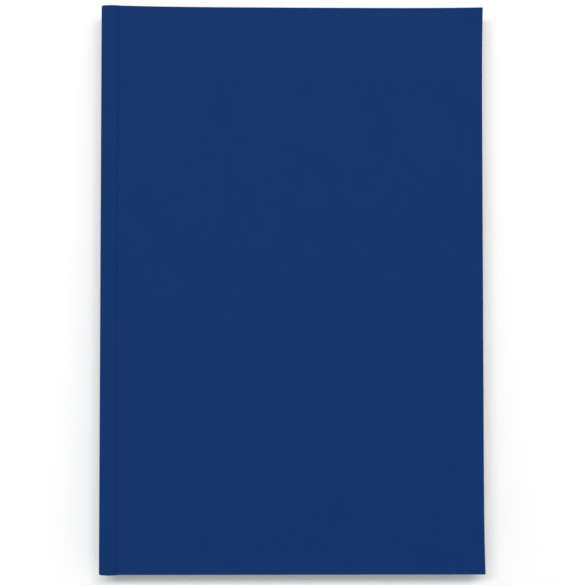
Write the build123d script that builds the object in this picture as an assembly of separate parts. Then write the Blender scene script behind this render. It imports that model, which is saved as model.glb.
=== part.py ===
from build123d import *
import os

# A case-bound (hardback) flight logbook: nine sewn sections of ruled leaves in a cloth-covered
# case. It lies shut on its back cover. Millimetres, +Z up.
# The origin is the middle of the face it rests on. +X points to the fore edge (the side that
# opens), +Y to the head (the top of a page). The spine is on -X and the front cover is uppermost.

# ---- driving dimensions: the case
COVER_WIDTH = 158.5       # outside of the spine to the fore edge of the cover
COVER_HEIGHT = 235.0      # head to tail
BOARD = 2.4               # cover board
CLOTH = 0.3               # bookcloth with its glue
GROOVE_WIDTH = 5.5        # fold line of the sections to the near edge of a board
GROOVE_DEPTH = 1.6        # how far the cloth is pressed in, below the cover's face
TURN_IN = 15.0            # cloth turned over the edges on to the inside of a board
SPINE_BOARD = 1.8
SPINE_STEP = 0.6          # the spine stands this much below each cover's face
EDGE_ROUND = 0.4          # rounding of the cloth over a board's edges
SPINE_ROUND = 0.6         # rounding of the cloth over the spine's two long edges

# ---- driving dimensions: the text block
PAGE_WIDTH = 152.4
PAGE_HEIGHT = 228.6
LEAF = 0.11               # one ruled leaf
LEAVES_PER_SECTION = 8
SECTIONS = 9
SECTION_GAP = 0.03        # air between neighbouring sections
PRESS_GAP = 0.05          # air on each side of a flyleaf
ENDPAPER = 0.14           # pastedown or flyleaf

# ---- driving dimensions: spine linings, sewing and headbands
MULL = 0.2                # open-weave gauze glued over the folds
MULL_HEIGHT = 190.0
MULL_FLAP = 25.0          # gauze glued on to the inside of a board
LINER = 0.16              # kraft paper over the gauze
LINER_HEIGHT = 224.0
GLUE = 0.02               # film between the folds and the gauze
THREAD = 0.3
STATIONS = [-98.0, -60.0, -20.0, 20.0, 60.0, 98.0]    # sewing holes along the fold
KERF_DEPTH = 0.3          # notch across the folds that takes the thread
KERF_WIDTH = 0.7
FOLD_ROUND = 0.38         # rounding of each section's folded edge
BAND_BEAD_RADIUS = 0.85
BAND_TAPE_HEIGHT = 15.0

# ---- driving dimensions: the line that a cover and its leaves turn about
HINGE_IN = 1.0            # from the fold line towards the fore edge
HINGE_BELOW_FACE = 1.8    # below the outer face of the cover
LEAF_CLEAR = 0.1          # a turning leaf starts this far beyond the hinge line
STRIP_CLEAR = 0.05        # between a turning leaf and the strip of it that stays sewn in

# ---- worked out across the book
SQUARE = (COVER_HEIGHT - PAGE_HEIGHT) / 2             # cover beyond the pages
SPINE_X = -COVER_WIDTH / 2
FORE_X = COVER_WIDTH / 2
PAGE_FORE_X = FORE_X - SQUARE
FOLD_X = PAGE_FORE_X - PAGE_WIDTH                     # the sections' folded edges
BOARD_X = FOLD_X + GROOVE_WIDTH
HINGE_X = FOLD_X + HINGE_IN
LEAF_X = HINGE_X + LEAF_CLEAR                         # where a turning leaf starts
STRIP_X = LEAF_X - STRIP_CLEAR                        # where its sewn-in strip ends
COVER_Y = COVER_HEIGHT / 2
PAGE_Y = PAGE_HEIGHT / 2

# ---- worked out through the thickness, from the table up; the front half mirrors the back half
TURNED_Z = CLOTH + BOARD + CLOTH                      # inner face of a turn-in
PASTED_Z = TURNED_Z + ENDPAPER                        # inner face of a pastedown
FLY_Z = PASTED_Z + PRESS_GAP
BLOCK_Z = FLY_Z + ENDPAPER + PRESS_GAP
SECTION = LEAF * LEAVES_PER_SECTION
SECTION_PITCH = SECTION + SECTION_GAP
BLOCK = SECTIONS * SECTION_PITCH - SECTION_GAP
BOOK = 2 * BLOCK_Z + BLOCK                            # the shut book's thickness


def slab(x_span, y_span, z_span):
    """A rectangular solid between two x, two y and two z values."""
    spans = (x_span, y_span, z_span)
    size = [high - low for low, high in spans]
    middle = [(high + low) / 2 for low, high in spans]
    return Pos(*middle) * Box(*size)


def both_ways(value):
    """The span from -value to +value."""
    return (-value, value)


def flipped(solid):
    """The same solid on the other side of the book's middle plane."""
    return mirror(solid, about=Plane.XY.offset(BOOK / 2))


# ---- the covers, drawn for the back and mirrored for the front
def board():
    """Stiff grey board of one cover."""
    return slab((BOARD_X, FORE_X - CLOTH), both_ways(COVER_Y - CLOTH), (CLOTH, CLOTH + BOARD))


def cover_cloth():
    """Bookcloth round one board: outer face, three edges and the turned-in margins."""
    wrap = slab((BOARD_X, FORE_X), both_ways(COVER_Y), (0, TURNED_Z))
    outer_edges = wrap.edges().filter_by_position(Axis.X, BOARD_X + TURN_IN, FORE_X)
    wrap = fillet(outer_edges, EDGE_ROUND)
    recess = slab((BOARD_X, FORE_X - TURN_IN), both_ways(COVER_Y - TURN_IN), (CLOTH, TURNED_Z))
    return wrap - board() - recess


def mull_flap():
    """Gauze glued on the inside of one board."""
    z_span = (CLOTH + BOARD, CLOTH + BOARD + MULL)
    return slab((BOARD_X, BOARD_X + MULL_FLAP), both_ways(MULL_HEIGHT / 2), z_span)


def pastedown():
    """Endpaper leaf pasted down inside one cover, sunk between the turned-in margins."""
    sheet = slab((BOARD_X, PAGE_FORE_X), both_ways(PAGE_Y), (TURNED_Z, PASTED_Z))
    sunk_y = both_ways(COVER_Y - TURN_IN)
    sunk = slab((BOARD_X, FORE_X - TURN_IN), sunk_y, (CLOTH + BOARD, TURNED_Z))
    return sheet + sunk - mull_flap()


def flyleaf():
    """Free leaf of one endpaper, from the hinge line to the fore edge."""
    return slab((LEAF_X, PAGE_FORE_X), both_ways(PAGE_Y), (FLY_Z, FLY_Z + ENDPAPER))


# ---- the flexible strips that cross one groove
def joint_cloth():
    """Bookcloth pressed into the groove between the spine and one board."""
    groove_x = (FOLD_X + BOARD_X) / 2
    ends = [(FOLD_X, SPINE_STEP), (BOARD_X, 0)]
    outer = ThreePointArc(ends[0], (groove_x, GROOVE_DEPTH), ends[1])
    inner = ThreePointArc(
        (BOARD_X, CLOTH), (groove_x, GROOVE_DEPTH + CLOTH), (FOLD_X, SPINE_STEP + CLOTH)
    )
    rim = outer + Line(outer @ 1, inner @ 0) + inner + Line(inner @ 1, outer @ 0)
    # the profile is drawn across the book, x by z, and runs from tail to head
    profile = Plane.XZ.offset(-COVER_Y) * make_face(rim)
    return extrude(profile, amount=COVER_HEIGHT)


def joint_mull():
    """Gauze between the spine and one board, behind the groove."""
    z_span = (CLOTH + BOARD, CLOTH + BOARD + MULL)
    return slab((FOLD_X - GLUE, BOARD_X), both_ways(MULL_HEIGHT / 2), z_span)


def joint_endpaper():
    """Endpaper across one groove, with its fold and the sewn-in strip of the flyleaf."""
    across = slab((FOLD_X, BOARD_X), both_ways(PAGE_Y), (TURNED_Z, PASTED_Z))
    fold = slab((FOLD_X, FOLD_X + ENDPAPER), both_ways(PAGE_Y), (TURNED_Z, FLY_Z + ENDPAPER))
    strip = slab((FOLD_X, STRIP_X), both_ways(PAGE_Y), (FLY_Z, FLY_Z + ENDPAPER))
    return across + fold + strip


# ---- the sewn text block
def section_floor(number):
    """Height of the underside of a section; section 1 is next to the front cover."""
    return BLOCK_Z + (SECTIONS - number) * SECTION_PITCH


def section(number):
    """One section: nested folded sheets, notched and pierced along the fold for the sewing."""
    floor = section_floor(number)
    middle = floor + SECTION / 2
    leaves = slab((FOLD_X, PAGE_FORE_X), both_ways(PAGE_Y), (floor, floor + SECTION))
    fold_edges = leaves.edges().filter_by(Axis.Y).group_by(Axis.X)[0]
    leaves = fillet(fold_edges, FOLD_ROUND)
    room = THREAD / 2 + GLUE
    gutter_x = (FOLD_X + KERF_DEPTH, FOLD_X + KERF_DEPTH + 2 * THREAD)
    reach = STATIONS[-1] + room
    cuts = [slab(gutter_x, both_ways(reach), (middle - room, middle + room))]
    for station in STATIONS:
        hole_y = (station - room, station + room)
        cuts.append(slab((FOLD_X, gutter_x[1]), hole_y, (middle - room, middle + room)))
        kerf_y = (station - KERF_WIDTH / 2, station + KERF_WIDTH / 2)
        cuts.append(slab((FOLD_X, FOLD_X + KERF_DEPTH), kerf_y, (floor, floor + SECTION)))
    return leaves - cuts


def sewing_thread():
    """Linen thread: a run inside each section's fold, linked down the notches in the spine."""
    half = THREAD / 2
    gutter_x = (FOLD_X + KERF_DEPTH + GLUE, FOLD_X + KERF_DEPTH + GLUE + THREAD)
    link_x = (FOLD_X + GLUE, FOLD_X + KERF_DEPTH - GLUE)
    middles = [section_floor(number) + SECTION / 2 for number in range(1, SECTIONS + 1)]
    pieces = []
    for middle in middles:
        z_span = (middle - half, middle + half)
        pieces.append(slab(gutter_x, both_ways(STATIONS[-1] + half), z_span))
        for station in STATIONS:
            pieces.append(slab((link_x[0], gutter_x[1]), (station - half, station + half), z_span))
    for station in STATIONS:
        link_z = (min(middles) - half, max(middles) + half)
        pieces.append(slab(link_x, (station - half, station + half), link_z))
    return pieces[0] + pieces[1:]


def headband():
    """Woven band at the head of the spine: a bead over the folds, with a glued tape behind."""
    z_span = (BLOCK_Z, BLOCK_Z + BLOCK)
    bead_y = PAGE_Y + BAND_BEAD_RADIUS
    bead = Cylinder(BAND_BEAD_RADIUS, BLOCK, align=(Align.CENTER, Align.CENTER, Align.MIN))
    bead = Pos(FOLD_X + BAND_BEAD_RADIUS / 2, bead_y, BLOCK_Z) * bead
    tape_x = (FOLD_X - GLUE - MULL, FOLD_X - GLUE)
    tape = slab(tape_x, (bead_y - BAND_TAPE_HEIGHT, bead_y), z_span)
    return bead + tape


# ---- the spine
def spine_mull():
    """Gauze glued over the folded edges of all the sections."""
    z_span = (CLOTH + BOARD, BOOK - CLOTH - BOARD)
    return slab((FOLD_X - GLUE - MULL, FOLD_X - GLUE), both_ways(MULL_HEIGHT / 2), z_span)


def spine_liner():
    """Kraft paper glued over the gauze and the headbands' tapes."""
    near = FOLD_X - GLUE - MULL
    return slab((near - LINER, near), both_ways(LINER_HEIGHT / 2), (BLOCK_Z, BLOCK_Z + BLOCK))


def spine_inside():
    """Span of heights between the two cloth layers that cover the spine board's long edges."""
    return (SPINE_STEP + CLOTH, BOOK - SPINE_STEP - CLOTH)


def spine_board():
    """Narrow board that keeps the spine flat, with a hollow between it and the liner."""
    x_span = (SPINE_X + CLOTH, SPINE_X + CLOTH + SPINE_BOARD)
    return slab(x_span, both_ways(COVER_Y - CLOTH), spine_inside())


def spine_cloth():
    """Bookcloth round the spine board, up to both grooves, turned in at head and tail."""
    turned_x = SPINE_X + CLOTH + SPINE_BOARD + CLOTH
    wrap = slab((SPINE_X, FOLD_X), both_ways(COVER_Y), (SPINE_STEP, BOOK - SPINE_STEP))
    long_edges = wrap.edges().filter_by(Axis.Y).group_by(Axis.X)[0]
    wrap = fillet(long_edges, SPINE_ROUND)
    behind = slab((turned_x, FOLD_X), both_ways(COVER_Y), spine_inside())
    between_x = (SPINE_X + CLOTH, turned_x)
    between = slab(between_x, both_ways(COVER_Y - TURN_IN), spine_inside())
    return wrap - behind - between - spine_board()


# ---- every piece, under the name of its node
def front_and_back(name, solid):
    """The back piece as drawn, and the front piece as its mirror image."""
    return {"back_" + name: solid, "front_" + name: flipped(solid)}


def split_section():
    """Section 1, cut at the hinge line into the leaves that turn and the sewn-in fold."""
    whole = section(1)
    turning = slab((LEAF_X, PAGE_FORE_X), both_ways(PAGE_Y), (0, BOOK))
    sewn = slab((FOLD_X, STRIP_X), both_ways(PAGE_Y), (0, BOOK))
    return {"section_1_leaves": whole & turning, "section_1_fold": whole & sewn}


def all_pieces():
    """Every node of the book."""
    pieces = {}
    for name, make in {
        "board": board,
        "cover_cloth": cover_cloth,
        "mull_flap": mull_flap,
        "pastedown": pastedown,
        "flyleaf": flyleaf,
        "joint_cloth": joint_cloth,
        "joint_mull": joint_mull,
        "joint_endpaper": joint_endpaper,
    }.items():
        pieces.update(front_and_back(name, make()))
    pieces.update(split_section())
    for number in range(2, SECTIONS + 1):
        pieces[f"section_{number}"] = section(number)
    pieces["sewing_thread"] = sewing_thread()
    pieces["headband"] = headband()
    pieces["tailband"] = mirror(pieces["headband"], about=Plane.XZ)
    pieces["spine_mull"] = spine_mull()
    pieces["spine_liner"] = spine_liner()
    pieces["spine_board"] = spine_board()
    pieces["spine_cloth"] = spine_cloth()
    return pieces


os.makedirs("parts", exist_ok=True)
for node, solid in all_pieces().items():
    export_step(solid, f"parts/{node}.step")

print(f"book {COVER_WIDTH} x {COVER_HEIGHT} x {BOOK:.2f} mm")
print(f"hinge line x {HINGE_X:.3f}, {HINGE_BELOW_FACE} mm below each cover's face")
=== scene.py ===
import math
import random

import bmesh
import bpy
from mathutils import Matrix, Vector, noise


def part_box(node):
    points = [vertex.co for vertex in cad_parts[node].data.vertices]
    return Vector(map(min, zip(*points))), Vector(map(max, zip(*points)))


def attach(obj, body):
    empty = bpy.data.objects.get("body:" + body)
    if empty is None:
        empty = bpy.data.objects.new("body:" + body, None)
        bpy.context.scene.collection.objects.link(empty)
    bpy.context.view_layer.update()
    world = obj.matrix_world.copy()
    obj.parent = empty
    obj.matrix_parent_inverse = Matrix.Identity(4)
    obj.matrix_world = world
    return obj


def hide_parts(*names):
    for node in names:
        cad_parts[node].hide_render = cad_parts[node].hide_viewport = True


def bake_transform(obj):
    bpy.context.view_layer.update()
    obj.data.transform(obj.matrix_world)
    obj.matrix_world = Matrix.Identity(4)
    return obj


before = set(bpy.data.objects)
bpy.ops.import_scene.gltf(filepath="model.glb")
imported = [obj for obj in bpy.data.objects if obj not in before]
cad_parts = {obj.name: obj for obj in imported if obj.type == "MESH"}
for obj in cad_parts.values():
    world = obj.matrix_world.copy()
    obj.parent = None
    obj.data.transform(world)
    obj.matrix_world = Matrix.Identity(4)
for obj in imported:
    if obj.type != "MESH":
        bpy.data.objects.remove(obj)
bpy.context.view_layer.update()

# A cloth-covered hardback logbook, shut. Metres. The spine is on -X, the head on +Y, and the front
# cover is uppermost. Every piece of the front half is drawn there, and the back half is its mirror
# image in the book's middle plane.

MM = 0.001


def low(node):
    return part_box(node)[0]


def high(node):
    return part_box(node)[1]


# ---- sizes read from the frame
SPINE_X = low("spine_cloth").x
FOLD_X = high("spine_cloth").x                  # the sections' folds
BOARD_X = low("front_cover_cloth").x            # near edge of a board
FORE_X = high("front_cover_cloth").x
COVER_Y = high("front_cover_cloth").y
BOOK = high("front_cover_cloth").z
SPINE_TOP = high("spine_cloth").z
INSIDE = low("front_cover_cloth").z             # inner face of the front turn-ins
BOARD_FACE = low("front_board").z               # inner face of the front board
CLOTH = BOOK - high("front_board").z
MULL = high("front_mull_flap").z - low("front_mull_flap").z
MULL_X = high("front_mull_flap").x
MULL_Y = high("front_mull_flap").y
FLY_TOP = high("front_flyleaf").z
ENDPAPER = FLY_TOP - low("front_flyleaf").z
PAGE_X = high("section_2").x
PAGE_Y = high("section_2").y
SECTION = high("section_2").z - low("section_2").z

# ---- sizes of the finish
SECTIONS = 9
LEAVES = 8                                      # in a section
LEAF = SECTION / LEAVES
TURN_IN = 15 * MM
EDGE = 0.7 * MM                                 # rounding of the cloth over a board's edges
SPINE_EDGE = 0.95 * MM                          # and over the ends of the spine
LIP = 1 * MM                                    # a cover's flat face ends this far inside its edges
CORNER = 0.5 * MM                               # rounding of a cover's corners, seen from above
SHOULDER = 1.1 * MM                             # rounding of the spine's long edges
BESIDE_SHOULDER = 1.2 * MM                      # level cloth between the shoulder and the groove
SPINE_WRAP = 2.4 * MM                           # cloth, spine board and turned-in cloth
JOINT_WRAP = 2 * CLOTH
GROOVE_DROP = 0.9 * MM                          # depth of the groove below the cover's face
GROOVE_RISE = BOARD_X - 0.4 * MM                # where the groove's steep side meets that face
GROOVE_FAR = GROOVE_RISE - 2 * MM               # the two sides of the groove's floor
GROOVE_NEAR = GROOVE_FAR - 0.5 * MM
UNEVEN = 0.04 * MM                              # rise and fall of the cloth on a board
SWELL = 35 * MM                                 # from one rise to the next
SWELL_SLICE = 3.1                               # the slice of the noise that they are read from
SWELL_DROP = 0.7                                # keeps nearly all of them below the board's face
LEVEL_BY_GROOVE = 2 * MM                        # width of the level cloth on a board's near edge
FADE_BY_GROOVE = 6 * MM                         # beyond it the rise and fall begins, over this width
FADE = 4 * MM                                   # and it fades out over this one at the other edges
PASTE_STEP = 1.1 * MM                           # width of a pastedown's step over an edge under it
BOARD_BEVEL = 0.25 * MM                         # rounding of a cover board's own edges
SPINE_BEVEL = 0.8 * MM                          # and of the spine board's
GAUZE_BEHIND = 0.12 * MM                        # middle of the gauze, behind the folds
GAUZE = 0.9 * MULL                              # its thickness, a little clear of its neighbours
FOLD_GAP = 0.025 * MM                           # half of the gap inside an endpaper's own fold
PAPER_SHARE = 0.94                              # of a leaf's room in its section; the rest is air
TRIM = 0.05 * MM                                # unevenness of the leaves' cut edges

# The corners stand out, where the cloth is folded double, and the edges between them bow in.
BOW_REACH = 12 * MM                             # how far in from an edge its bow is felt
FORE_BOW = 0.52 * MM
FORE_CURVE = 8                                  # a power: the higher, the flatter an edge's middle
HEAD_BOW = 0.5 * MM
HEAD_CURVE = 4
END_STEP = 0.3 * MM                             # the spine's ends stand out past the boards
STEP_REACH = 3 * MM

# Extra rows of a mesh, this far in from an edge that is rounded or bowed.
CLOSE_ROWS = [gap * MM for gap in (0.15, 0.3, 0.5, 0.8, 1.3, 2, 3, 4.5)]

SIDES = ("front", "back")


def smooth(t):
    """From 0 to 1 as t does, and level at both ends."""
    t = min(1.0, max(0.0, t))
    return t * t * (3 - 2 * t)


def between(a, b, count):
    """count values from a to b, both included."""
    return [a + (b - a) * i / (count - 1) for i in range(count)]


def crowded(a, b, edges, count):
    """Values from a to b: count evenly spaced ones, and some extra near each end, at edges away."""
    inner = between(a + edges[-1], b - edges[-1], count)
    return [a + e for e in (0, *edges[:-1])] + inner + [b - e for e in (*edges[-2::-1], 0)]


# =====================================================================================
# Meshes
# =====================================================================================
WELD = 0.002 * MM                               # corners nearer than this are one
FINE_WELD = 0.0005 * MM                         # and in pieces of thin layers


class Surface:
    """Patches of quads. Every corner also has its place on the flat material, in millimetres."""

    def __init__(self):
        self.points = []
        self.flats = []
        self.faces = []
        self.slots = []

    def patch(self, rows, slot=0, flip=False):
        """rows is a grid of (point, flat) pairs; flip turns the faces over."""
        start, wide = len(self.points), len(rows[0])
        for row in rows:
            for point, flat in row:
                self.points.append(tuple(point))
                self.flats.append(tuple(flat))
        for i in range(len(rows) - 1):
            for j in range(wide - 1):
                a = start + i * wide + j
                quad = (a, a + 1, a + wide + 1, a + wide)
                self.faces.append(quad[::-1] if flip else quad)
                self.slots.append(slot)

    def slab(self, face, behind, slot=0, edge_slot=0, edge_flat=None):
        """A sheet: two faces, as grids of the same size, and the four narrow edges that join them.
        edge_flat gives a point of the edges its place on the flat material."""
        self.patch(face, slot)
        self.patch(behind, slot, flip=True)
        for near, far in (
            (behind[0], face[0]),
            (face[-1], behind[-1]),
            ([row[0] for row in face], [row[0] for row in behind]),
            ([row[-1] for row in behind], [row[-1] for row in face]),
        ):
            rows = [near, far]
            if edge_flat:
                rows = [[(point, edge_flat(point)) for point, _ in row] for row in rows]
            self.patch(rows, edge_slot)

    def build(self, name, materials, side="front", weld=WELD):
        """The object, mirrored in the book's middle plane when it belongs to the back."""
        back = side == "back"
        points = [(x, y, BOOK - z) if back else (x, y, z) for x, y, z in self.points]
        faces = [f[::-1] if back else f for f in self.faces]
        mesh = bpy.data.meshes.new(name)
        mesh.from_pydata(points, [], faces)
        flat = mesh.uv_layers.new(name="flat")
        for loop in mesh.loops:
            flat.data[loop.index].uv = self.flats[loop.vertex_index]
        for material in materials:
            mesh.materials.append(material)
        mesh.polygons.foreach_set("material_index", self.slots)
        work = bmesh.new()
        work.from_mesh(mesh)
        bmesh.ops.remove_doubles(work, verts=work.verts, dist=weld)
        bmesh.ops.dissolve_degenerate(work, edges=work.edges, dist=weld / 10)
        for edge in work.edges:
            edge.smooth = not edge.is_boundary
        work.to_mesh(mesh)
        work.free()
        mesh.polygons.foreach_set("use_smooth", [True] * len(mesh.polygons))
        mesh.update()
        piece = bpy.data.objects.new(name, mesh)
        bpy.context.scene.collection.objects.link(piece)
        return piece


def thicken(piece, thickness, offset=-1):
    """Gives a sheet its thickness, behind the face that shows unless offset says otherwise."""
    solid = piece.modifiers.new("thickness", "SOLIDIFY")
    solid.thickness = thickness
    solid.offset = offset
    return piece


def sharpen(piece, degrees):
    """Keeps edges sharper than this angle crisp under smooth shading."""
    mesh = piece.data
    work = bmesh.new()
    work.from_mesh(mesh)
    for edge in work.edges:
        if len(edge.link_faces) == 2 and edge.calc_face_angle() > math.radians(degrees):
            edge.smooth = False
    work.to_mesh(mesh)
    work.free()
    return piece


def bevelled(piece, width):
    """Rounds a piece's sharp edges."""
    bevel = piece.modifiers.new("rounding", "BEVEL")
    bevel.width = width
    bevel.segments = 3
    bevel.limit_method = "ANGLE"
    bevel.angle_limit = math.radians(50)
    return piece


def across_joint(piece):
    """Bakes a piece's placement into the points of its mesh."""
    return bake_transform(piece)


# =====================================================================================
# Materials
# =====================================================================================
class Shader:
    """A material's node tree, with short ways to add nodes."""

    def __init__(self, name, **constants):
        self.material = bpy.data.materials.new(name)
        self.material.use_nodes = True
        self.tree = self.material.node_tree
        self.bsdf = self.tree.nodes["Principled BSDF"]
        for socket, value in constants.items():
            self.bsdf.inputs[socket.replace("_", " ")].default_value = value

    def feed(self, socket, value):
        if isinstance(value, bpy.types.NodeSocket):
            self.tree.links.new(value, socket)
        elif value is not None:
            socket.default_value = value

    def calc(self, operation, a, b=None, c=None):
        node = self.tree.nodes.new("ShaderNodeMath")
        node.operation = operation
        for socket, value in zip(node.inputs, (a, b, c)):
            self.feed(socket, value)
        return node.outputs[0]

    def flat(self):
        """The two coordinates on the flat material, in millimetres."""
        uv = self.tree.nodes.new("ShaderNodeUVMap")
        uv.uv_map = "flat"
        split = self.tree.nodes.new("ShaderNodeSeparateXYZ")
        self.tree.links.new(uv.outputs[0], split.inputs[0])
        return split.outputs[0], split.outputs[1]

    def place(self):
        """A point's three coordinates in the frame, with the book shut, in millimetres."""
        at = self.tree.nodes.new("ShaderNodeTexCoord")
        split = self.tree.nodes.new("ShaderNodeSeparateXYZ")
        self.tree.links.new(at.outputs["Object"], split.inputs[0])
        return [self.calc("MULTIPLY", out, 1 / MM) for out in split.outputs]

    def vector(self, x, y, z=0.0):
        node = self.tree.nodes.new("ShaderNodeCombineXYZ")
        for socket, value in zip(node.inputs, (x, y, z)):
            self.feed(socket, value)
        return node.outputs[0]

    def noise(self, vector, scale, detail=2.0, rough=0.5):
        node = self.tree.nodes.new("ShaderNodeTexNoise")
        self.tree.links.new(vector, node.inputs["Vector"])
        node.inputs["Scale"].default_value = scale
        node.inputs["Detail"].default_value = detail
        node.inputs["Roughness"].default_value = rough
        return node.outputs["Fac"]

    def streaks(self, u, v, scale_u, scale_v, detail=2.0, rough=0.5):
        """Noise that is drawn out along the coordinate with the smaller scale."""
        at = self.vector(self.calc("MULTIPLY", u, scale_u), self.calc("MULTIPLY", v, scale_v))
        return self.noise(at, 1.0, detail, rough)

    def wave(self, value, pitch):
        """A sine that crosses 0 once every pitch, in millimetres."""
        return self.calc("SINE", self.calc("MULTIPLY", value, math.pi / pitch))

    def mix(self, factor, a, b):
        node = self.tree.nodes.new("ShaderNodeMix")
        node.data_type = "RGBA"
        for key, value in (("Factor", factor), ("A", a), ("B", b)):
            socket = next(s for s in node.inputs if s.name == key and s.enabled)
            if not isinstance(value, (bpy.types.NodeSocket, float, int)):
                value = (*value[:3], 1.0)
            self.feed(socket, value)
        return next(s for s in node.outputs if s.enabled)

    def spread(self, value, to_low, to_high, from_low=0.0, from_high=1.0):
        node = self.tree.nodes.new("ShaderNodeMapRange")
        for key, number in (
            ("From Min", from_low), ("From Max", from_high),
            ("To Min", to_low), ("To Max", to_high),
        ):
            node.inputs[key].default_value = number
        self.feed(node.inputs["Value"], value)
        return node.outputs[0]

    def line(self, value, at, width, soft=0.06):
        """1 on a line at a coordinate, fading to 0 over soft beyond half its width."""
        away = self.calc("ABSOLUTE", self.calc("SUBTRACT", value, at))
        return self.spread(away, 1.0, 0.0, width / 2, width / 2 + soft)

    def finish(self, colour=None, roughness=None, height=None, depth=0.05 * MM, strength=1.0):
        self.feed(self.bsdf.inputs["Base Color"], colour)
        self.feed(self.bsdf.inputs["Roughness"], roughness)
        if height is not None:
            bump = self.tree.nodes.new("ShaderNodeBump")
            bump.inputs["Distance"].default_value = depth
            bump.inputs["Strength"].default_value = strength
            self.tree.links.new(height, bump.inputs["Height"])
            self.tree.links.new(bump.outputs[0], self.bsdf.inputs["Normal"])
        return self.material


CRIMP = 0.45                                     # how far a thread dips towards its crossings


def woven(shader, u, v, pitch):
    """Height, from 0 to 1, of a plain weave of that pitch, in millimetres."""
    across_u, across_v = shader.wave(u, pitch), shader.wave(v, pitch)
    warp_on_top = shader.calc("GREATER_THAN", shader.calc("MULTIPLY", across_u, across_v), 0.0)
    round_u, round_v = shader.calc("ABSOLUTE", across_u), shader.calc("ABSOLUTE", across_v)
    warp = shader.calc("MULTIPLY", round_u, shader.calc("MULTIPLY_ADD", round_v, CRIMP, 1 - CRIMP))
    weft = shader.calc("MULTIPLY", round_v, shader.calc("MULTIPLY_ADD", round_u, CRIMP, 1 - CRIMP))
    warp = shader.calc("MULTIPLY", warp, warp_on_top)
    weft = shader.calc("MULTIPLY", weft, shader.calc("SUBTRACT", 1.0, warp_on_top))
    return shader.calc("ADD", warp, weft)


CLOTH_PITCH = 0.42                               # from thread to thread, in millimetres
GAUZE_PITCH = 1.1
THICK, LONG = 2.2, 0.09                          # scales of a slub across and along its thread


def bookcloth():
    """Matt navy bookcloth: a fine plain weave, filled and pressed, with slightly uneven threads."""
    shader = Shader("navy_bookcloth", Specular_IOR_Level=0.06)
    u, v = shader.flat()
    height = woven(shader, u, v, CLOTH_PITCH)
    slub = shader.calc("ADD", shader.streaks(u, v, THICK, LONG), shader.streaks(u, v, LONG, THICK))
    dye = shader.noise(shader.vector(u, v), 0.045, 3.0)
    filler = shader.noise(shader.vector(u, v), 1.6, 3.0, 0.6)
    deep, bright = (0.0047, 0.0270, 0.1135), (0.0069, 0.0385, 0.1580)
    # The colour darkens with the weave's height: painted shade down each thread's sides and where the
    # threads dip. The slubs and the dye noise add real tone that differs at random.
    share = shader.calc("MULTIPLY_ADD", height, 0.42, 0.05)
    share = shader.calc("ADD", share, shader.spread(slub, -0.05, 0.22, 0.7, 1.3))
    share = shader.calc("ADD", share, shader.spread(dye, -0.04, 0.04, 0.3, 0.7))
    colour = shader.mix(shader.calc("ADD", share, 0.1), deep, bright)
    rough = shader.spread(filler, 0.70, 0.86)
    bumps = shader.calc("ADD", height, shader.calc("MULTIPLY", slub, 0.35))
    bumps = shader.calc("ADD", bumps, shader.calc("MULTIPLY", filler, 0.3))
    return shader.finish(colour, rough, bumps, 0.035 * MM, 0.55)


def greyboard():
    """Dense grey binder's board with flecks of fibre."""
    shader = Shader("grey_board")
    x, y, z = shader.place()
    fleck = shader.noise(shader.vector(x, y, z), 2.4, 4.0, 0.7)
    cloud = shader.noise(shader.vector(x, y, z), 0.15, 2.0)
    colour = shader.mix(shader.spread(fleck, 0, 1, 0.35, 0.65), (0.24, 0.225, 0.2), (0.36, 0.34, 0.3))
    colour = shader.mix(shader.spread(cloud, 0, 0.25), colour, (0.3, 0.26, 0.2))
    return shader.finish(colour, shader.spread(fleck, 0.82, 0.95), fleck, 0.06 * MM)


KRAFT_RIB = 0.9                                  # from rib to rib, in millimetres


def kraft():
    """Ribbed brown kraft paper."""
    shader = Shader("kraft_paper")
    x, y, z = shader.place()
    rib = shader.calc("ABSOLUTE", shader.wave(z, KRAFT_RIB))
    fibre = shader.noise(shader.vector(x, shader.calc("MULTIPLY", y, 0.3), z), 3.0, 3.0, 0.65)
    colour = shader.mix(shader.spread(fibre, 0, 1, 0.3, 0.7), (0.33, 0.2, 0.105), (0.46, 0.3, 0.17))
    height = shader.calc("ADD", rib, fibre)
    return shader.finish(colour, shader.spread(fibre, 0.6, 0.8), height, 0.03 * MM)


def endpaper():
    """Off-white cartridge paper with a soft tooth."""
    shader = Shader("endpaper", Specular_IOR_Level=0.3)
    u, v = shader.flat()
    at = shader.vector(u, v)
    tooth = shader.noise(at, 3.5, 4.0, 0.65)
    cloud = shader.noise(at, 0.08, 3.0)
    colour = shader.mix(shader.spread(cloud, 0, 1, 0.3, 0.7), (0.80, 0.765, 0.66), (0.86, 0.83, 0.735))
    # Painted shade: up to 12% darker in the low spots of the tooth that also makes the bumps.
    colour = shader.mix(shader.spread(tooth, 0.12, 0, 0.3, 0.7), colour, (0.62, 0.58, 0.48))
    return shader.finish(colour, shader.spread(tooth, 0.72, 0.9), tooth, 0.02 * MM, 0.5)


ROW = 7.0                                        # height of a ruled row, in millimetres
RULED_LEFT, RULED_RIGHT = 9.0, 146.0             # the ruling's sides, from the fold
RULED_TOP, RULED_FOOT = 91.0, -105.0             # the head rule and the foot rule
HEADING = 12.0                                   # height of the space for headings, over the head rule
TOTALS = 3 * ROW                                 # and for totals, over the foot rule
COLUMNS = (25.0, 49.0, 63.0, 77.0, 90.0, 103.0, 116.0)
FINE_RULE, COLUMN_RULE, BOLD_RULE = 0.2, 0.22, 0.5


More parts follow.
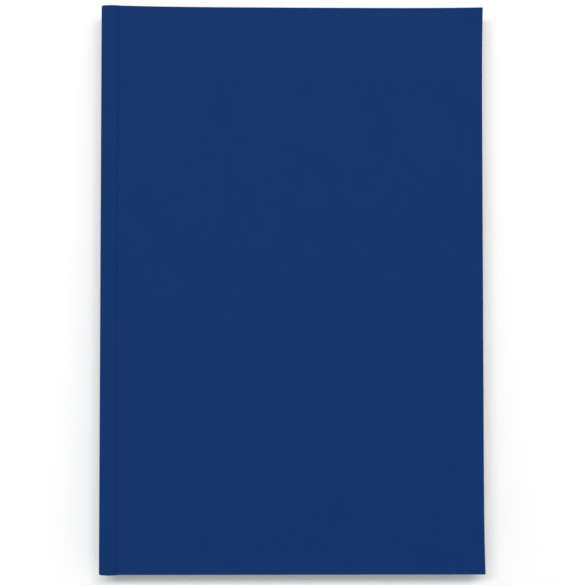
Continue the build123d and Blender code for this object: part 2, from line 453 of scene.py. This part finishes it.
def ledger():
    """Cream ledger paper, ruled in rows and columns, with every other row tinted."""
    shader = Shader("ledger_paper", Specular_IOR_Level=0.3)
    u, v = shader.flat()
    at = shader.vector(u, v)
    tooth = shader.noise(at, 3.0, 4.0, 0.65)
    cloud = shader.noise(at, 0.06, 3.0)
    colour = shader.mix(shader.spread(cloud, 0, 1, 0.3, 0.7), (0.82, 0.80, 0.66), (0.88, 0.865, 0.74))

    def inside(value, at_low, at_high):
        above = shader.calc("GREATER_THAN", value, at_low)
        return shader.calc("MULTIPLY", above, shader.calc("LESS_THAN", value, at_high))

    wide = inside(u, RULED_LEFT, RULED_RIGHT)
    rows = shader.calc("MULTIPLY", wide, inside(v, RULED_FOOT + 0.5, RULED_TOP - 0.5))
    down = shader.calc("SUBTRACT", RULED_TOP, v)
    row = shader.calc("DIVIDE", down, ROW)
    tint = shader.calc("GREATER_THAN", shader.calc("MODULO", row, 2.0), 1.0)
    tint = shader.calc("MULTIPLY", tint, rows)
    colour = shader.mix(shader.calc("MULTIPLY", tint, 0.55), colour, (0.62, 0.78, 0.62))
    near_rule = shader.calc("MULTIPLY", shader.calc("PINGPONG", row, 0.5), ROW)
    tall = inside(v, RULED_FOOT, RULED_TOP + HEADING)
    lines = [(near_rule, 0.0, FINE_RULE, rows)]
    lines += [(u, column, COLUMN_RULE, tall) for column in COLUMNS]
    lines += [(u, side, BOLD_RULE, tall) for side in (RULED_LEFT, RULED_RIGHT)]
    levels = (RULED_TOP + HEADING, RULED_TOP, RULED_FOOT + TOTALS, RULED_FOOT)
    lines += [(v, level, BOLD_RULE, wide) for level in levels]
    rule = 0.0
    for value, place, width, where in lines:
        drawn = shader.calc("MULTIPLY", shader.line(value, place, width), where)
        rule = shader.calc("MAXIMUM", rule, drawn)
    ink = shader.calc("MULTIPLY", rule, shader.spread(tooth, 0.65, 0.95, 0.35, 0.6))
    colour = shader.mix(ink, colour, (0.10, 0.22, 0.24))
    return shader.finish(colour, shader.spread(tooth, 0.68, 0.86), tooth, 0.015 * MM, 0.5)


def leaf_edges():
    """The cut edges of the leaves: cream, with a slightly different tone from leaf to leaf."""
    shader = Shader("leaf_edges", Specular_IOR_Level=0.25)
    u, v = shader.flat()
    tone = shader.streaks(u, v, 0.02, 3.7, 3.0, 0.7)
    grain = shader.noise(shader.vector(u, v), 1.2, 3.0, 0.6)
    colour = shader.mix(shader.spread(tone, 0, 1, 0.3, 0.7), (0.60, 0.56, 0.43), (0.86, 0.83, 0.70))
    colour = shader.mix(shader.spread(grain, 0, 0.2, 0.4, 0.7), colour, (0.48, 0.43, 0.32))
    return shader.finish(colour, shader.spread(grain, 0.78, 0.92), grain, 0.02 * MM)


def gauze():
    """Starched open-weave gauze: darker down each thread's sides and between the threads, painted shade
    that follows the weave's height.
    """
    shader = Shader("mull_gauze")
    u, v = shader.flat()
    height = woven(shader, u, v, GAUZE_PITCH)
    fray = shader.noise(shader.vector(u, v), 2.0, 3.0)
    # Painted shade: the colour follows the weave's height, darkest between the threads.
    colour = shader.mix(shader.calc("POWER", height, 0.6), (0.50, 0.42, 0.27), (0.84, 0.81, 0.72))
    return shader.finish(colour, shader.spread(fray, 0.7, 0.9), height, 0.12 * MM)


TWIST = 0.35                                     # from ridge to ridge, in millimetres


def linen():
    """Waxed linen thread: the twist shows as slanting ridges."""
    shader = Shader("linen_thread")
    u, v = shader.flat()
    twist = shader.wave(shader.calc("ADD", u, v), TWIST)
    twist = shader.calc("MULTIPLY_ADD", twist, 0.5, 0.5)
    # Painted shade: the colour darkens into the grooves between the twist's ridges, with the same wave that
    # makes the bumps.
    colour = shader.mix(twist, (0.62, 0.57, 0.45), (0.86, 0.83, 0.73))
    return shader.finish(colour, shader.spread(twist, 0.5, 0.7), twist, 0.05 * MM)


STRAND = 0.34                                    # width of one wound thread, in millimetres
STRIPE = 4 * STRAND                              # and of the threads of one colour


def band_weave():
    """Headband silk: blue and white threads wound side by side."""
    shader = Shader("headband_weave", Sheen_Weight=0.3)
    u, v = shader.flat()
    stripe = shader.calc("GREATER_THAN", shader.wave(u, STRIPE), 0.0)
    strand = shader.calc("ABSOLUTE", shader.wave(u, STRAND))
    wear = shader.noise(shader.vector(u, v), 2.0, 3.0)
    colour = shader.mix(stripe, (0.84, 0.83, 0.78), (0.022, 0.06, 0.2))
    # Painted shade: up to 45% towards near-black between the wound strands, fading out up each strand's
    # sides, with the same wave that makes the bumps.
    colour = shader.mix(shader.spread(strand, 0.45, 0.0, 0, 0.6), colour, (0.05, 0.05, 0.06))
    return shader.finish(colour, shader.spread(wear, 0.4, 0.6), strand, 0.06 * MM)


# =====================================================================================
# The case: bookcloth over the boards and the spine
# =====================================================================================
def groove_height(x):
    """Height of the cloth's outside between the spine's shoulder and the flat of the board."""
    floor = BOOK - GROOVE_DROP
    if x < GROOVE_FAR:
        start = SPINE_X + SHOULDER + BESIDE_SHOULDER
        return SPINE_TOP + (floor - SPINE_TOP) * smooth((x - start) / (GROOVE_NEAR - start))
    return floor + (BOOK - floor) * smooth((x - GROOVE_FAR) / (GROOVE_RISE - GROOVE_FAR))


TURNED_X = SPINE_X + SPINE_WRAP                  # inner face of the cloth turned in at the spine
BOARD_EDGE_X = BOARD_X - CLOTH                   # and of the cloth turned in round a board's edge
JOINT_CORNER = 0.9 * MM                          # how gently the turned-in cloth leaves them both


def outside():
    """The front half's outline, from the middle of the spine round to the flat fore edge: (x, z)."""
    points = [(SPINE_X, z) for z in between(BOOK / 2, SPINE_TOP - SHOULDER, 11)]
    for angle in between(math.pi, math.pi / 2, 9)[1:]:
        x = SPINE_X + SHOULDER * (1 + math.cos(angle))
        points.append((x, SPINE_TOP - SHOULDER * (1 - math.sin(angle))))
    joint = between(SPINE_X + SHOULDER, GROOVE_FAR, 24)[1:] + between(GROOVE_FAR, GROOVE_RISE, 13)[1:]
    points += [(x, groove_height(x)) for x in sorted([*joint, TURNED_X]) if x < BOARD_EDGE_X]
    board = [BOARD_EDGE_X, BOARD_X, *between(BOARD_X, FORE_X - LIP - 6 * MM, 34)[1:]]
    board += [FORE_X - LIP - gap for gap in (*reversed(CLOSE_ROWS), 0)]
    return points + [(x, groove_height(x)) for x in board]


def joint_inside(x, z):
    """Height of the turned-in cloth's inside below a point of the joint."""
    level = z - JOINT_WRAP
    beside_spine = smooth(1 - (x - TURNED_X) / JOINT_CORNER)
    beside_board = smooth(1 - (BOARD_EDGE_X - x) / JOINT_CORNER)
    return level + (INSIDE - level) * max(beside_spine, beside_board)


def case_columns():
    """Lines that cross the case from head to tail: (the point outside, the point inside that the
    cloth is turned in to, distance along the cloth)."""
    columns, along, last = [], 0.0, None
    for x, z in outside():
        along += math.dist(last, (x, z)) if last else 0.0
        last = (x, z)
        if x <= TURNED_X:
            inner = (TURNED_X, min(z, SPINE_TOP - SPINE_WRAP))
        elif x < BOARD_EDGE_X:
            inner = (x, joint_inside(x, z))
        else:
            inner = (x, INSIDE)
        columns.append((last, inner, along))
    return columns


def turned_in(outer, inner):
    """The cloth's way round the edge of what lies between two points, and on over the turn-in:
    (distance in from the edge, x, z, distance along the cloth)."""
    deep = math.dist(outer, inner)
    past_spine = smooth((outer[0] - SPINE_X - SHOULDER) / (TURNED_X - SPINE_X - SHOULDER))
    radius = min(SPINE_EDGE + (EDGE - SPINE_EDGE) * past_spine, deep / 2)
    curve = [(radius * (1 - math.sin(a)), radius * (1 - math.cos(a)), radius * a)
             for a in between(0, math.pi / 2, 6)]
    whole = deep - 2 * radius + radius * math.pi
    way = [(LIP, 0.0, radius - LIP), *curve]
    way += [(inset, deep - down, whole - along) for inset, down, along in reversed(curve)]
    way += [(inset, deep, whole + inset - radius)
            for inset in (1.5 * MM, 3 * MM, 6 * MM, 10 * MM, TURN_IN)]
    x_step, z_step = (inner[0] - outer[0]) / deep, (inner[1] - outer[1]) / deep
    return [(inset, outer[0] + x_step * down, outer[1] + z_step * down, along + LIP - radius)
            for inset, down, along in way]


def relief(x, y):
    """The cloth's slight rise and fall over a board, fading out at its edges."""
    fade = smooth((x - BOARD_X - LEVEL_BY_GROOVE) / FADE_BY_GROOVE)
    fade *= smooth((FORE_X - x - LIP) / FADE)
    fade *= smooth((COVER_Y - LIP - abs(y)) / FADE)
    rise = noise.noise(Vector((x / SWELL, y / SWELL, SWELL_SLICE)))
    return UNEVEN * fade * (rise - SWELL_DROP)


def bowed(x, y):
    """A place on a cover, moved in where the cover's edges bow."""
    share = min(1.0, max(0.0, (x - BOARD_X) / (FORE_X - BOARD_X)))
    head = END_STEP + HEAD_BOW * (1 - (2 * share - 1) ** HEAD_CURVE)
    inward = head if y > 0 else END_STEP * (1 - share)
    inward *= smooth((x - BOARD_X + STEP_REACH) / STEP_REACH)
    inward *= smooth((abs(y) - COVER_Y + BOW_REACH) / BOW_REACH)
    fore = FORE_BOW * (1 - (y / COVER_Y) ** FORE_CURVE) * smooth((x - FORE_X + BOW_REACH) / BOW_REACH)
    return x - fore, y - math.copysign(inward, y)


def settle(x, y, z, flat):
    """A point of the case after its corners are rounded and its edges bowed in a little."""
    past_x, past_y = x - FORE_X + CORNER, abs(y) - COVER_Y + CORNER
    if past_x > 0 and past_y > 0:
        less = 1 - max(past_x, past_y) / math.hypot(past_x, past_y)
        x, y = x - past_x * less, y - math.copysign(past_y * less, y)
    x, y = bowed(x, y)
    return ((x, y, z), flat)


def case_cloth(side, cloth):
    """One half of the bookcloth: half the spine, the groove, the cover and its turned-in edges."""
    surface = Surface()
    columns = case_columns()
    reach, far = COVER_Y - LIP, FORE_X - LIP
    lines = crowded(-reach, reach, [*CLOSE_ROWS, 7 * MM], 40)
    face = [[settle(x, y, z + relief(x, y), (along / MM, y / MM)) for y in lines]
            for (x, z), _, along in columns]
    surface.patch(face, flip=True)
    for sign in (1, -1):
        ends = []
        for outer, inner, along in columns:
            row = []
            for inset, x, z, over in turned_in(outer, inner):
                if x > BOARD_X:
                    x = BOARD_X + (x - BOARD_X) * (FORE_X - inset - BOARD_X) / (far - BOARD_X)
                row.append(settle(x, sign * (COVER_Y - inset), z, (along / MM, sign * (reach + over) / MM)))
            ends.append(row)
        surface.patch(ends, flip=sign > 0)
    outer, inner, along = columns[-1]
    fore = []
    for inset, _, z, over in turned_in(outer, inner):
        wide = (COVER_Y - inset) / reach
        fore.append([settle(FORE_X - inset, y * wide, z, ((along + over) / MM, y * wide / MM))
                     for y in lines])
    surface.patch(fore, flip=True)
    piece = surface.build(f"{side}_case_cloth", [cloth], side)
    thicken(piece, CLOTH)
    spine = ["spine_cloth"] if side == "front" else []
    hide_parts(f"{side}_cover_cloth", f"{side}_joint_cloth", *spine)
    across_joint(piece)
    over_edge = turned_in(outer, inner)[-1][3]
    return piece


# =====================================================================================
# Boards
# =====================================================================================
def cover_board(side, material):
    """The board inside a cover: its edges bow in with the cloth's."""
    far, reach = FORE_X - CLOTH, COVER_Y - CLOTH
    xs = crowded(BOARD_X, far, [gap * MM for gap in (1, 3, 7)], 16)
    ys = crowded(-reach, reach, [gap * MM for gap in (1, 3, 7, 12)], 24)

    def level(z):
        return [[((*bowed(x, y), z), (x / MM, y / MM)) for y in ys] for x in xs]

    surface = Surface()
    surface.slab(level(BOARD_FACE), level(BOOK - CLOTH - 2 * UNEVEN))
    piece = bevelled(surface.build(f"{side}_cover_board", [material], side), BOARD_BEVEL)
    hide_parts(f"{side}_board")
    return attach(piece, f"{side}_cover")


def spine_stiffener(material):
    """The narrow board inside the spine, rounded under the cloth's shoulders."""
    near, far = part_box("spine_board")
    ys = between(near.y, far.y, 9)
    zs = between(near.z, far.z, 3)
    inner, outer = ([[((x, y, z), (z / MM, y / MM)) for y in ys] for z in zs] for x in (far.x, near.x))
    surface = Surface()
    surface.slab(inner, outer)
    piece = bevelled(surface.build("spine_stiffener", [material]), SPINE_BEVEL)
    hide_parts("spine_board")
    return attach(piece, "text_block")


# =====================================================================================
# Linings: gauze, endpapers and flyleaves
# =====================================================================================
def graded(a, b, count, centres=(), reach=1.2 * MM):
    """Evenly spaced values from a to b, with extra ones close to each centre."""
    values = set(between(a, b, count))
    for centre in centres:
        values.update(v for v in between(centre - reach, centre + reach, 7) if a < v < b)
    return sorted(values)


def mull(side, material):
    """Half the gauze: over the folds, across the joint and on to the board."""
    near = FOLD_X - GAUZE_BEHIND
    level = BOARD_FACE - MULL / 2
    bend = 0.5 * MM
    path = [(near, z) for z in between(BOOK / 2, level - bend, 7)]
    path += [(near + bend * (1 - math.cos(a)), level - bend * (1 - math.sin(a)))
             for a in between(0, math.pi / 2, 6)[1:]]
    path += [(x, level) for x in between(near + bend, BOARD_X, 14)[1:]]
    path += [(x, level) for x in between(BOARD_X, MULL_X, 8)[1:]]
    rows, along = [], 0.0
    for last, (x, z) in zip([path[0], *path], path):
        along += math.dist(last, (x, z))
        rows.append([((x, y, z), (along / MM, y / MM)) for y in between(-MULL_Y, MULL_Y, 24)])
    surface = Surface()
    surface.patch(rows, flip=True)
    piece = surface.build(f"{side}_mull", [material], side)
    thicken(piece, GAUZE, offset=0)
    spine = ["spine_mull"] if side == "front" else []
    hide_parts(f"{side}_mull_flap", f"{side}_joint_mull", *spine)
    across_joint(piece)
    return piece


def pasted_height(x, y):
    """Height of the pastedown's face: it sinks inside the turn-ins and rises over the gauze."""
    turned, sunk = INSIDE - ENDPAPER, BOARD_FACE - ENDPAPER
    share = smooth((FORE_X - TURN_IN - x) / PASTE_STEP) * smooth((COVER_Y - TURN_IN - abs(y)) / PASTE_STEP)
    share *= smooth((x - BOARD_X) / PASTE_STEP)
    on_gauze = smooth((MULL_X - x) / PASTE_STEP + 0.5) * smooth((MULL_Y - abs(y)) / PASTE_STEP + 0.5)
    return turned + (sunk - turned - MULL * on_gauze) * share


HINGE_FOLD = FOLD_X + ENDPAPER + FOLD_GAP        # centre of an endpaper's own fold


def pastedown(side, material):
    """The pasted half of an endpaper: round its fold, across the joint and over the board."""
    half_step = 0.5 * MM
    xs = graded(HINGE_FOLD, BOARD_X, 14)
    xs += graded(BOARD_X, PAGE_X, 48, (MULL_X, FORE_X - TURN_IN - half_step, BOARD_X + 0.6 * MM))[1:]
    turned_y = COVER_Y - TURN_IN - half_step
    ys = graded(-PAGE_Y, PAGE_Y, 60, (turned_y, -turned_y, MULL_Y, -MULL_Y))
    inner = HINGE_FOLD - FOLD_X - ENDPAPER
    middle = INSIDE - ENDPAPER - inner
    fold = [(HINGE_FOLD - inner * math.sin(a), middle - inner * math.cos(a))
            for a in between(0, math.pi, 7)[:-1]]
    rows = [[((x, y, z), ((x - FOLD_X) / MM, y / MM)) for y in ys] for x, z in fold]
    rows += [[((x, y, pasted_height(x, y)), ((x - FOLD_X) / MM, y / MM)) for y in ys] for x in xs]
    surface = Surface()
    surface.patch(rows)
    piece = surface.build(f"{side}_endpaper", [material], side, weld=FINE_WELD)
    thicken(piece, ENDPAPER)
    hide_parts(f"{side}_pastedown", f"{side}_joint_endpaper")
    return across_joint(piece)


def flyleaf(side, material):
    """The free half of an endpaper, from the fold out."""
    xs = graded(HINGE_FOLD, BOARD_X, 16) + graded(BOARD_X, PAGE_X, 30)[1:]
    ys = between(-PAGE_Y, PAGE_Y, 36)

    def level(z):
        return [[((x, y, z), ((x - FOLD_X) / MM, y / MM)) for y in ys] for x in xs]

    surface = Surface()
    surface.slab(level(FLY_TOP - ENDPAPER), level(FLY_TOP))
    piece = sharpen(surface.build(f"{side}_flyleaf_paper", [material], side), 50)
    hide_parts(f"{side}_flyleaf")
    return across_joint(piece)


# =====================================================================================
# The text block: nested folded sheets, sewn through their folds
# =====================================================================================
def folded_sheet(surface, middle, nested, xs, ys, first_leaf, chance):
    """One folded sheet: a leaf above the middle of its section, round the fold, a leaf below.
    nested counts from 0, the outermost sheet. xs runs from the fold's centre to the fore edge."""
    radius = (LEAVES / 2 - nested - 0.5) * LEAF
    half = PAPER_SHARE / 2 * LEAF
    upper_cut, lower_cut, head_cut, tail_cut = (chance.uniform(0, TRIM) for _ in range(4))
    path = [(x - upper_cut * (x == xs[-1]), middle + radius, 0.0, 1.0) for x in reversed(xs)]
    for angle in between(math.pi / 2, 3 * math.pi / 2, 7)[1:-1]:
        out_x, out_z = math.cos(angle), math.sin(angle)
        path.append((xs[0] + radius * out_x, middle + radius * out_z, out_x, out_z))
    path += [(x - lower_cut * (x == xs[-1]), middle - radius, 0.0, -1.0) for x in xs]
    lines = [ys[0] + tail_cut, *ys[1:-1], ys[-1] - head_cut]

    def side(out):
        return [[((x + out * out_x, y, z + out * out_z), ((x - FOLD_X) / MM, y / MM)) for y in lines]
                for x, z, out_x, out_z in path]

    def on_edge(point):
        leaf = nested if point[2] > middle else LEAVES - 1 - nested
        return ((point[0] + point[1]) / MM, first_leaf + leaf)

    surface.slab(side(half), side(-half), 0, 1, on_edge)


def section(number, page, edge, chance):
    """One sewn section of four nested sheets. Section 1 has extra columns out to the joint with the front
    cover.
    """
    turns = number == 1
    box = "section_1_leaves" if turns else f"section_{number}"
    middle = (low(box).z + high(box).z) / 2
    fold = FOLD_X + LEAVES / 2 * LEAF
    gutter = between(fold, BOARD_X, 16) if turns else [fold, fold + 3 * MM]
    xs = gutter + between(gutter[-1], PAGE_X, 12 if turns else 5)[1:]
    ys = between(-PAGE_Y, PAGE_Y, 9)
    surface = Surface()
    for nested in range(LEAVES // 2):
        folded_sheet(surface, middle, nested, xs, ys, number * LEAVES, chance)
    piece = sharpen(surface.build(f"section_{number}_sheets", [page, edge], weld=FINE_WELD), 40)
    if turns:
        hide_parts("section_1_leaves", "section_1_fold")
        across_joint(piece)
    else:
        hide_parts(f"section_{number}")
        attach(piece, "text_block")
    return piece


STATIONS = (-98.0, -60.0, -20.0, 20.0, 60.0, 98.0)    # sewing holes along the fold, in millimetres
THREAD_RADIUS = 0.15 * MM
THREAD_BEND = 0.8 * MM                           # length of its slanting way in and out of a fold
THREAD_SIDES = 10


def tube(surface, path, radius):
    """A round tube along a list of points, with closed ends."""
    across = Vector((0, 0, 1))
    rows, along = [], 0.0
    for i, point in enumerate(path):
        ahead = (path[min(i + 1, len(path) - 1)] - path[max(i - 1, 0)]).normalized()
        across = (across - ahead * across.dot(ahead)).normalized()
        other = ahead.cross(across)
        along += (point - path[i - 1]).length if i else 0.0
        ring = []
        for turn in between(0, 2 * math.pi, THREAD_SIDES + 1):
            out = across * math.cos(turn) + other * math.sin(turn)
            ring.append((point + out * radius, (along / MM, turn * radius / MM)))
        rows.append(ring)
    ends = [[(path[i], rows[i][0][1])] * (THREAD_SIDES + 1) for i in (0, -1)]
    surface.patch([ends[0], *rows, ends[1]])


def sewing(material):
    """Linen thread: along inside each fold, out and in at every station, up to the next section."""
    box_low, box_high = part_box("sewing_thread")
    link_x, run_x = box_low.x + THREAD_RADIUS, box_high.x - THREAD_RADIUS
    path = []
    for number in range(SECTIONS, 0, -1):
        up = (SECTIONS - number) / (SECTIONS - 1)
        z = box_low.z + THREAD_RADIUS + up * (box_high.z - box_low.z - 2 * THREAD_RADIUS)
        stations = STATIONS if number % 2 else STATIONS[::-1]
        step = math.copysign(THREAD_BEND, stations[1] - stations[0])
        for first, second in zip(stations, stations[1:]):
            path.append(Vector((link_x, first * MM, z)))
            path.append(Vector((run_x, first * MM + step, z)))
            path.append(Vector((run_x, (first + second) / 2 * MM, z)))
            path.append(Vector((run_x, second * MM - step, z)))
        path.append(Vector((link_x, stations[-1] * MM, z)))
    surface = Surface()
    tube(surface, path, THREAD_RADIUS)
    piece = surface.build("sewing_thread_run", [material], weld=FINE_WELD)
    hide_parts("sewing_thread")
    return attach(piece, "text_block")


BAND_CORE = 0.85 * MM                            # radius of a headband over its threads
BAND_TAPE = 15 * MM
TAPE_GAP = 0.03 * MM                             # between the folds and the tape glued over them
RIDGE = 0.06                                     # share of that radius that is a thread's roundness
ROWS_PER_STRAND = 5


def wound_band(name, node, sign, material):
    """A headband: threads wound side by side round a core, and the tape that is glued behind."""
    low_z, high_z, bead_x = low(node).z, high(node).z, high(node).x - BAND_CORE
    bead_y, tall = sign * (PAGE_Y + BAND_CORE), high_z - low_z
    rows = []
    for z in between(0, tall, int(tall / (STRAND * MM) * ROWS_PER_STRAND)):
        from_end = min(z, tall - z) / BAND_CORE
        swell = math.sqrt(1 - max(0.0, 1 - from_end) ** 2)
        ridge = 1 - RIDGE + RIDGE * abs(math.sin(z / MM * math.pi / STRAND))
        ring = []
        for turn in between(0, 2 * math.pi, 25):
            out = BAND_CORE * ridge * swell
            point = (bead_x + out * math.cos(turn), bead_y + out * math.sin(turn), low_z + z)
            ring.append((point, (z / MM + turn / (2 * math.pi) * STRAND, turn)))
        rows.append(ring)
    surface = Surface()
    surface.patch(rows)

    def tape(x):
        ys = between(bead_y - sign * BAND_TAPE, bead_y, 9)[::sign]
        return [[((x, y, z), (z / MM, y / MM)) for y in ys] for z in between(low_z, high_z, 5)]

    surface.slab(tape(FOLD_X - TAPE_GAP), tape(FOLD_X - MULL))
    piece = sharpen(surface.build(name, [material], weld=FINE_WELD), 60)
    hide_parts(node)
    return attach(piece, "text_block")


# =====================================================================================
# Stage: floor, light and camera
# =====================================================================================
# The camera looks down from over the middle of the book, a little towards its spine and its tail.
CAMERA_PLACE = Vector((-11.3, -21.8, 583.3)) * MM
CAMERA_TILT = (2.021, -1.131, 0.0)               # degrees
CAMERA_LENS = 85.0

FLOOR_REACH = 3.0                                # from its middle to each side
FLOOR_LEVEL = -0.05 * MM

SOFTBOX_PLACE = Vector((-0.1, 0.48, 1.55))       # high up, a little past the book's head
SOFTBOX_SIZE = (1.5, 0.23)                       # long across the book, so the shade beside it is soft
SOFTBOX_WATTS = 18.1
SOFTBOX_COLOUR = (1.04, 1.0, 0.97)
FILL_COLOUR = (0.95, 1.0, 1.03, 1.0)
FILL_STRENGTH = 0.505


def pale_floor():
    """Matt paper with a hardly visible cloudiness."""
    shader = Shader("pale_floor", Specular_IOR_Level=0.1)
    cloud = shader.noise(shader.vector(*shader.place()), 0.01, 2.0)
    colour = shader.mix(cloud, (0.95, 0.955, 0.95), (0.965, 0.97, 0.965))
    return shader.finish(colour, shader.spread(cloud, 0.85, 0.95))


def stage_set():
    """The floor, just under the book."""
    mesh = bpy.data.meshes.new("floor")
    signs = ((-1, -1), (1, -1), (1, 1), (-1, 1))
    corners = [(x * FLOOR_REACH, y * FLOOR_REACH, FLOOR_LEVEL) for x, y in signs]
    mesh.from_pydata(corners, [], [(0, 1, 2, 3)])
    mesh.materials.append(pale_floor())
    floor = bpy.data.objects.new("floor", mesh)
    bpy.context.scene.collection.objects.link(floor)


def softbox():
    """A long softbox that faces the book."""
    lamp = bpy.data.lights.new("softbox_above_head", "AREA")
    lamp.shape = "RECTANGLE"
    lamp.size, lamp.size_y = SOFTBOX_SIZE
    lamp.energy, lamp.color = SOFTBOX_WATTS, SOFTBOX_COLOUR
    light = bpy.data.objects.new("softbox_above_head", lamp)
    light.location = SOFTBOX_PLACE
    light.rotation_euler = (-SOFTBOX_PLACE).to_track_quat("-Z", "Y").to_euler()
    bpy.context.scene.collection.objects.link(light)


def fill_light():
    """Even light from all round, and plain colours without a film look."""
    world = bpy.data.worlds.new("studio")
    world.use_nodes = True
    background = world.node_tree.nodes["Background"]
    background.inputs["Color"].default_value = FILL_COLOUR
    background.inputs["Strength"].default_value = FILL_STRENGTH
    bpy.context.scene.world = world
    bpy.context.scene.view_settings.view_transform = "Standard"


def camera():
    """The view of the photo: the front cover, seen almost square on."""
    lens = bpy.data.cameras.new("camera")
    lens.lens, lens.clip_start, lens.clip_end = CAMERA_LENS, 0.01, 20.0
    eye = bpy.data.objects.new("camera", lens)
    eye.location = CAMERA_PLACE
    eye.rotation_euler = [math.radians(angle) for angle in CAMERA_TILT]
    bpy.context.scene.collection.objects.link(eye)
    bpy.context.scene.camera = eye


# =====================================================================================
# The book
# =====================================================================================
def repaint(node, material):
    """Gives a CAD part that keeps its shape a better material."""
    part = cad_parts[node]
    part.data.materials.clear()
    part.data.materials.append(material)


def book():
    """Every piece of the book, with its material."""
    cloth, paper, page, edge = bookcloth(), endpaper(), ledger(), leaf_edges()
    board, net, band = greyboard(), gauze(), band_weave()
    for side in SIDES:
        case_cloth(side, cloth)
        cover_board(side, board)
        mull(side, net)
        pastedown(side, paper)
        flyleaf(side, paper)
    spine_stiffener(board)
    repaint("spine_liner", kraft())
    chance = random.Random(7)
    for number in range(1, SECTIONS + 1):
        section(number, page, edge, chance)
    sewing(linen())
    wound_band("headband_silk", "headband", 1, band)
    wound_band("tailband_silk", "tailband", -1, band)


camera()
softbox()
fill_light()
stage_set()
book()
